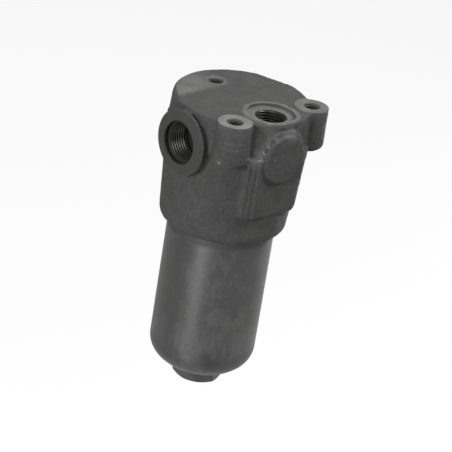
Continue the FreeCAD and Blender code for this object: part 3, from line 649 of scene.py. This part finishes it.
top_bored = (iron.step(from_top_port, TOP_MAJOR + 0.4, TOP_MAJOR + 0.1)
             * iron.step(iron.z, SPOT_Z - 0.2, SPOT_Z - 0.5))
bored = side_bored | top_bored
# Painted shade deep inside the side bore, towards its far end.
deep_bore_shade = side_bored * iron.step(iron.x, -31, -29.5)
cast = (1 - bare) * (1 - bored)
colour = iron.tint(bare, colour, iron.tint(iron.step(clouds, 0.3, 0.7), BARE_DARK, BARE_LIGHT))
# Painted shade: the bored threads are dark, and darker still deep in the side bore.
colour = iron.tint(bored, colour, SHADED_BORE_IRON)
colour = iron.tint(deep_bore_shade * 0.8, colour, DEEP_BORE_SHADE)

# Wear, dressing and painted light on the casting: chipped edges on the drum and the feet of the lugs, also
# painted bright as glints, painted highlights on the drum's top, the pad's ledge and the front of the top, the
# left lug's file marks, and the rings that the facing tool left on the side flange.
KNOCK_AND_GLINT_SPOTS = (((-16.5, -43.0, -22.8), 1.7, 1), ((-15.6, -43.2, -18.2), 2.6, 1), ((-12.6, -43.2, -13.4), 2.6, 1),
          ((-7.8, -43.2, -10.6), 2.4, 0.7), ((-18.5, -42.7, -22.0), 2.4, 0.9), ((-42.3, -32.2, -24.6), 3, 1),
          ((-37.8, -39.0, -25.3), 2.6, 0.7), ((-26.0, -39.5, -25.6), 3, 1), ((23.2, -37.3, -24.6), 2.6, 1))
HIGHLIGHT_SPOTS = (((3.5, -42.0, -7.8), 9, 0.7), ((-20.0, -41.0, -22.0), 8, 0.35), ((-8.0, -38.0, -2.0), 12, 0.3))
CHIP_AND_GLINT_METAL, HIGHLIGHT_IRON = (0.3, 0.3, 0.3), (0.125, 0.125, 0.125)
FILED_IRON, FACED_IRON = (0.14, 0.14, 0.14), (0.036, 0.036, 0.034)
# Chipped edges showing bright metal, which also serve as painted glints on the drum's edge, the ledge and the lug
# feet.
knocks_and_glints = sum(iron.near(point, radius) * share for point, radius, share in KNOCK_AND_GLINT_SPOTS)
# Painted highlights: lighter patches on the drum's top, the pad's ledge and the front of the top.
painted_highlights = sum(iron.near(point, radius) * share for point, radius, share in HIGHLIGHT_SPOTS)
chip_and_glint_breakup = iron.mottle(1.7, 4, 0.75, shift=11)
# The painted highlights, laid into the colour of the cast surface.
colour = iron.tint(painted_highlights * cast, colour, HIGHLIGHT_IRON)
# Bright chipped metal together with painted glints, broken up by noise.
colour = iron.tint(knocks_and_glints * iron.step(chip_and_glint_breakup, 0.48, 0.62) * 0.75, colour, CHIP_AND_GLINT_METAL)
left_lug = iron.near((-36, -39, -9), 13) * iron.step(iron.z, 0, -1.5)
file_marks = iron.lines(iron.z + waver * 1.4, 0.9)
colour = iron.tint(left_lug * iron.step(file_marks, 0.45, 0.68) * 0.42, colour, FILED_IRON)
side_faced = iron.step(iron.x, SIDE_FACE_X + 0.15, SIDE_FACE_X + 0.05)
side_rings = iron.lines(from_side_port, 3.1)
colour = iron.tint(side_faced * (1 - bored) * 0.6, colour, FACED_IRON)
tooled = iron.mottle(0.5, 3, 0.6, (1, 40, 1), 5)
skin = grain * cast * (1 - side_faced) + tooled * bare * 0.12 + side_rings * side_faced * 0.12
iron.set(Base_Color=colour,
         Metallic=bare * 0.3 + (bored - deep_bore_shade) * 0.5,
         Roughness=(0.68 - bare * 0.16 - bored * 0.32 + deep_bore_shade * 0.4 - side_faced * 0.15
                    + (clouds - 0.5) * 0.16),
         Normal=iron.bump(skin, 0.15, iron.bump(patches * cast * (1 - side_faced), 0.22)))
iron.onto(head)


# Bowl: a cup of cold-drawn steel with a shallow domed bottom. Its neck has the groove for the seals and the
# thread by which it screws into the head, and under the dome it has a short hexagon for a spanner.
def arc(centre_r, centre_z, radius, first, last, count):
    """Corners along an arc, its angles in degrees from straight out towards down."""
    angles = [math.radians(first + (last - first) * k / count) for k in range(count + 1)]
    return [(centre_r + radius * math.cos(a), centre_z - radius * math.sin(a)) for a in angles]


bowl_low, bowl_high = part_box("filter_bowl")
BOWL_R = bowl_high.x / mm
NECK_Z = bowl_high.z / mm
HEX_Z = bowl_low.z / mm
LAND_R = 31.5
GROOVE_R = 29.1
GROOVE_TOP_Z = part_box("bowl_o_ring")[1].z / mm + 0.05
GROOVE_LOW_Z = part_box("bowl_backup_ring")[0].z / mm - 0.05
BOWL_MINOR, BOWL_MAJOR = 32.65, 33.85
BOWL_CORE_R = 24
BOWL_INNER_R = 27
WALL_END_Z = -169.9
CORNER_R = 15.2
DOME_ANGLE = 47.9
dome_start_r = BOWL_R - CORNER_R * (1 - math.cos(math.radians(DOME_ANGLE)))
dome_start_z = WALL_END_Z - CORNER_R * math.sin(math.radians(DOME_ANGLE))
DOME_R = dome_start_r / math.cos(math.radians(DOME_ANGLE))
dome_centre_z = dome_start_z + DOME_R * math.sin(math.radians(DOME_ANGLE))
FLOOR_T = 8
FLOOR_Z = dome_centre_z - DOME_R + FLOOR_T
neck = [(BOWL_CORE_R, NECK_Z), (LAND_R, NECK_Z, 0.9), (LAND_R, GROOVE_TOP_Z), (GROOVE_R, GROOVE_TOP_Z),
        (GROOVE_R, GROOVE_LOW_Z), (LAND_R, GROOVE_LOW_Z), (LAND_R, THREAD_TOP_Z + 0.5),
        (BOWL_MINOR, THREAD_TOP_Z - 0.65), (BOWL_MINOR, THREAD_BASE_Z + 0.6), (BOWL_R, THREAD_BASE_Z - 0.75, 0.3)]
wall = [(BOWL_R, -85 - 17 * k) for k in range(5)]
corner = arc(BOWL_R - CORNER_R, WALL_END_Z, CORNER_R, 0, DOME_ANGLE, 10)
dome = arc(0, dome_centre_z, DOME_R, DOME_ANGLE, 89, 20)[1:]
bowl = turned("bowl", neck + wall + corner + dome, 192)
thread = threaded("bowl_thread", BOWL_MAJOR, BOWL_MINOR, BOWL_PITCH, THREAD_BASE_Z + 0.3, THREAD_TOP_Z - 1.0, 128)
combined(bowl, thread, "UNION")
hollow = [(BOWL_CORE_R, NECK_Z + 2), (BOWL_INNER_R, NECK_Z + 2), (BOWL_INNER_R, FLOOR_Z, 14.6), (5, FLOOR_Z)]
combined(bowl, turned("bowl_hollow", hollow, 128))

HEX_FLATS = 28.6
HEX_HEIGHT = 12
HEX_TURN = -5
HEX_FACE_R = 13.4
CHAMFER_REACH = 30
chamfer_z = HEX_Z + (CHAMFER_REACH - HEX_FACE_R) * math.tan(math.radians(30))
hexagon = prism("hexagon", 6, HEX_FLATS / math.sqrt(3), HEX_HEIGHT, (0, 0, HEX_Z + HEX_HEIGHT / 2), HEX_TURN, 0.5, 2)
chamfer = turned("hex_chamfer", [(2, HEX_Z), (HEX_FACE_R, HEX_Z, 0.8), (CHAMFER_REACH, chamfer_z),
                                 (CHAMFER_REACH, HEX_Z + 20), (2, HEX_Z + 20)])
combined(hexagon, chamfer, "INTERSECT")
combined(bowl, hexagon, "UNION")
cleaned(bowl)
bowl.name = bowl.data.name = "bowl"
smoothed(bowl, 25)
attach(bowl, "bowl")
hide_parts("filter_bowl")

# Finish of the bowl: phosphated and lightly oiled, so it is glossier than the casting. It is mottled and
# streaked down its length, scuffed near the dome and stained dark there. Its left side is darkened by painted
# shade, and a painted shadow of the head's rim lies on it under the rim.
OLIVE_STEEL, BLUE_STEEL = (0.035, 0.035, 0.0315), (0.034, 0.034, 0.0365)
PALE_STEEL, STREAK_STEEL = (0.075, 0.075, 0.073), (0.018, 0.018, 0.0175)
STEEL_GRAIN, SCUFF_STEEL = (0.095, 0.095, 0.095), (0.1, 0.1, 0.102)
DOME_STAIN, LEFT_SIDE_SHADE, RIM_SHADOW = (0.012, 0.012, 0.012), (0.015, 0.015, 0.0135), (0.014, 0.014, 0.013)
steel = Finish("bowl_steel", Specular_IOR_Level=0.8)
streaks = steel.mottle(9, 4, 0.6, (1, 1, 5), 2)
blotches = steel.mottle(10, 5, 0.68, (1, 1, 1.5), 9)
fine = steel.mottle(1.1, 4, 0.7, (1, 1, 2))
scuffed = (steel.step(steel.z + (blotches - 0.5) * 30, -146, -152)
           * steel.step(steel.z + (blotches - 0.5) * 12, -169, -163))
# Painted shade on the bowl's left side, darker towards the left, with blotchy edges.
left_side_shade = steel.step(steel.x * -0.92 + steel.y * 0.4 + (blotches - 0.5) * 10, 23, 31)
# Painted shadow of the head's rim: a dark band on the bowl just under the rim, which is also rougher there.
rim_shadow = steel.step(steel.z + (streaks - 0.5) * 4, RIM_Z - 6.5, RIM_Z - 3.5)
colour = steel.tint(steel.step(steel.mottle(40, 2, 0.5, (1, 1, 1), 4), 0.38, 0.62), OLIVE_STEEL, BLUE_STEEL)
colour = steel.tint(steel.step(blotches, 0.44, 0.66) * 0.6, colour, PALE_STEEL)
colour = steel.tint(steel.step(streaks, 0.5, 0.75) * 0.5, colour, STREAK_STEEL)
colour = steel.tint(steel.step(fine, 0.54, 0.7) * 0.4, colour, STEEL_GRAIN)
colour = steel.tint(steel.near((-16, -27.5, -169), 13) * 0.5, colour, DOME_STAIN)
colour = steel.tint(scuffed * steel.step(streaks, 0.42, 0.62) * 0.4, colour, SCUFF_STEEL)
# Painted shade on the bowl's left side.
colour = steel.tint(left_side_shade * 0.5, colour, LEFT_SIDE_SHADE)
# The painted shadow under the head's rim.
colour = steel.tint(rim_shadow * 0.85, colour, RIM_SHADOW)
steel.set(Base_Color=colour,
          Roughness=0.38 + rim_shadow * 0.2 + (blotches - 0.5) * 0.36 + (fine - 0.5) * 0.16,
          Metallic=0.1 + (blotches - 0.5) * 0.15,
          Normal=steel.bump(fine, 0.035, steel.bump(blotches, 0.16)))
steel.onto(bowl)

# Turned parts of the filter: the element's spigot and the bypass valve's body, poppet and spring plate. They
# are bare steel with fine rings left by the lathe.
ALONG_THE_TURN = (60, 60, 1)
turned_steel = Finish("turned_steel", Metallic=0.9, Specular_IOR_Level=0.5)
rings = turned_steel.mottle(0.35, 2, 0.5, ALONG_THE_TURN)
stain = turned_steel.mottle(6, 4, 0.6)
turned_steel.set(Base_Color=turned_steel.tint(turned_steel.step(stain, 0.35, 0.7), (0.42, 0.42, 0.41),
                                              (0.34, 0.335, 0.32)),
                 Roughness=0.32 + (stain - 0.5) * 0.2,
                 Normal=turned_steel.bump(rings, 0.01))
turned_steel.onto("element_spigot", "bypass_valve_body", "bypass_poppet", "bypass_spring_plate")

# Sheet parts of the element: the two caps, the core tube and the outer guard. They are pressed and rolled from
# tinned steel sheet, which is bright with a faint cloudy grain.
tinned = Finish("plated_sheet", Metallic=0.85)
crystals = tinned.mottle(5, 5, 0.7)
rolled = tinned.mottle(0.8, 3, 0.6, (1, 1, 12), 4)
tinned.set(Base_Color=tinned.tint(tinned.step(crystals, 0.35, 0.7), (0.57, 0.57, 0.54), (0.47, 0.47, 0.45)),
           Roughness=0.34 + (crystals - 0.5) * 0.25,
           Normal=tinned.bump(rolled, 0.01))
tinned.onto("element_top_cap", "element_bottom_cap", "element_core_tube", "element_outer_guard")

# Wire parts: the element's spring, the bypass spring and the retaining ring. They are drawn spring steel, blued
# by its heat treatment. The bypass spring gets a mesh of its own; in the valve it is squeezed against its plate
# as the poppet lifts.
wire = Finish("spring_wire", Metallic=0.85)
blued = wire.mottle(4, 4, 0.6)
wire.set(Base_Color=wire.tint(wire.step(blued, 0.35, 0.7), (0.31, 0.31, 0.315), (0.22, 0.215, 0.205)),
         Roughness=0.38 + (blued - 0.5) * 0.2,
         Normal=wire.bump(wire.mottle(0.4, 3, 0.6), 0.01))
wire.onto("element_spring", "bypass_spring", "bypass_retaining_ring")
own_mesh(bpy.data.objects["bypass_spring"])

# Sealing washer of the bypass valve: soft aluminium, punched from sheet and a little scuffed where the valve
# body was screwed down on it.
washer = Finish("washer_aluminium", Metallic=0.9)
scuffs = washer.mottle(1.5, 4, 0.7)
washer.set(Base_Color=washer.tint(washer.step(scuffs, 0.4, 0.7), (0.7, 0.7, 0.7), (0.58, 0.58, 0.57)),
           Roughness=0.4 + (scuffs - 0.5) * 0.25,
           Normal=washer.bump(scuffs, 0.02))
washer.onto("bypass_washer")

# O-rings of the bowl, the spigot and the element: moulded black nitrile rubber, wet with oil in places, which
# shows as a change in their gloss.
rubber = Finish("seal_rubber")
oiled = rubber.mottle(5, 3, 0.6)
rubber.set(Base_Color=rubber.tint(oiled, (0.014, 0.014, 0.014), (0.009, 0.009, 0.009)),
           Roughness=0.45 + (oiled - 0.5) * 0.4,
           Normal=rubber.bump(rubber.mottle(0.5, 3, 0.6), 0.01))
rubber.onto("bowl_o_ring", "spigot_o_ring", "element_o_ring")

# Backup ring beside the bowl's O-ring: turned from white fluoroplastic, faintly cloudy, with the fine rings
# of the lathe.
backup = Finish("backup_plastic")
cloudy = backup.mottle(4, 3, 0.6)
backup.set(Base_Color=backup.tint(cloudy, (0.76, 0.75, 0.71), (0.68, 0.67, 0.62)),
           Roughness=0.4 + (cloudy - 0.5) * 0.15,
           Normal=backup.bump(backup.mottle(0.35, 2, 0.5, ALONG_THE_TURN), 0.008))
backup.onto("bowl_backup_ring")

# Pleats of the element: glass fibre folded between support meshes, cream-coloured and matt, its fibres showing
# as a fine unevenness.
fleece = Finish("filter_media", Roughness=0.85, Specular_IOR_Level=0.2)
fibres = fleece.mottle(1.2, 5, 0.7, (1, 1, 3))
fleece.set(Base_Color=fleece.tint(fleece.step(fibres, 0.35, 0.7), (0.78, 0.72, 0.52), (0.66, 0.59, 0.40)),
           Normal=fleece.bump(fibres, 0.06))
fleece.onto("element_pleat_pack")

# Studio: a white floor far below the filter, which hangs from its mounting plane, and the camera, fitted to
# the photograph. The floor and the world are white to look at and give the filter little light of their own.
STUDIO_FLOOR_Z = -0.46
scene = bpy.context.scene
scene.view_settings.view_transform = "Standard"
deselect()
bpy.ops.mesh.primitive_plane_add(size=8, location=(0, 0, STUDIO_FLOOR_Z))
floor = bpy.context.object
floor.name = "floor"

CAMERA_AZIMUTH = math.radians(-44.914)
CAMERA_ELEVATION = math.radians(25.336)
CAMERA_ROLL = math.radians(9.307)
CAMERA_DISTANCE = 1.5156
CAMERA_AIM = (3.787 * mm, -89.827 * mm)
HALF_PIXEL = 0.315 * mm
FOCAL_PIXELS = 2403.5
PHOTO_PIXELS = 452
SENSOR_WIDTH = 36
a, e, r = CAMERA_AZIMUTH, CAMERA_ELEVATION, CAMERA_ROLL
back = Vector((math.sin(a) * math.cos(e), -math.cos(a) * math.cos(e), math.sin(e)))
right = Vector((math.cos(a), math.sin(a), 0))
up = back.cross(right)
image_x = right * math.cos(r) + up * math.sin(r)
image_y = up * math.cos(r) - right * math.sin(r)
place = right * CAMERA_AIM[0] + Vector((0, 0, CAMERA_AIM[1])) + back * CAMERA_DISTANCE
place += (image_y - image_x) * HALF_PIXEL
lens = bpy.data.cameras.new("camera")
lens.sensor_width = SENSOR_WIDTH
lens.lens = FOCAL_PIXELS / PHOTO_PIXELS * SENSOR_WIDTH
lens.clip_start = 0.05
camera = bpy.data.objects.new("camera", lens)
scene.collection.objects.link(camera)
camera.matrix_world = Matrix.Translation(place) @ Matrix((image_x, image_y, back)).transposed().to_4x4()
scene.camera = camera


class Backdrop(Finish):
    """The world behind the filter, its nodes made by the same method as those of a finish."""

    def __init__(self, world):
        world.use_nodes = True
        self.tree = world.node_tree


def looked_at(backdrop):
    """Two masks: where a backdrop shows in a mirror, and where it shows at all, so doesn't just give light."""
    straight, mirrored, through = (backdrop.node("ShaderNodeLightPath", {}, {}, f"Is {kind} Ray")
                                   for kind in ("Camera", "Glossy", "Transmission"))
    return mirrored, straight | mirrored | through


FLOOR_WHITE, FLOOR_MIRRORED = (0.9, 0.9, 0.9), (0.5, 0.5, 0.5)
white = Finish("white_floor")
mirrored, seen = looked_at(white)
glow = white.node("ShaderNodeEmission", {}, {"Color": white.tint(mirrored, FLOOR_WHITE, FLOOR_MIRRORED)})
matt = white.node("ShaderNodeBsdfDiffuse", {}, {"Color": (0.7, 0.7, 0.7, 1)})
faint = white.node("ShaderNodeBsdfDiffuse", {}, {"Color": (0.12, 0.12, 0.12, 1)})
both = white.node("ShaderNodeAddShader", {}, {0: glow, 1: faint})
surface = white.node("ShaderNodeMixShader", {}, {0: seen, 1: matt, 2: both})
white.tree.links.new(surface.socket, white.tree.nodes["Material Output"].inputs["Surface"])
white.onto(floor)

scene.world = bpy.data.worlds.new("studio")
studio = Backdrop(scene.world)
background = studio.tree.nodes["Background"]
background.inputs["Color"].default_value = (1, 1, 1, 1)
studio.tree.links.new(looked_at(studio)[1].socket, background.inputs["Strength"])

LAMPS_AIM = Vector((0, 0, -0.08))


def lamp(name, turn, rise, size, power, away=1.25):
    """A square lamp at metres from the filter, turned rightwards from the camera and raised, in degrees."""
    light = bpy.data.lights.new(name, "AREA")
    light.shape = "SQUARE"
    light.size = size
    light.energy = power
    holder = bpy.data.objects.new(name, light)
    scene.collection.objects.link(holder)
    side, height = math.radians(turn - 135), math.radians(rise)
    towards = Vector((math.cos(side) * math.cos(height), math.sin(side) * math.cos(height), math.sin(height)))
    holder.location = LAMPS_AIM + towards * away
    holder.rotation_euler = towards.to_track_quat("Z", "Y").to_euler()


lamp("key", -35, 20, 0.4, 13.0)
lamp("above", 0, 70, 0.4, 4.6)
lamp("far_side", 90, 45, 0.4, 15.0)
lamp("glint", -27, -20, 0.24, 0.95, 0.8)
lamp("behind", 140, -9, 0.3, 4.0)
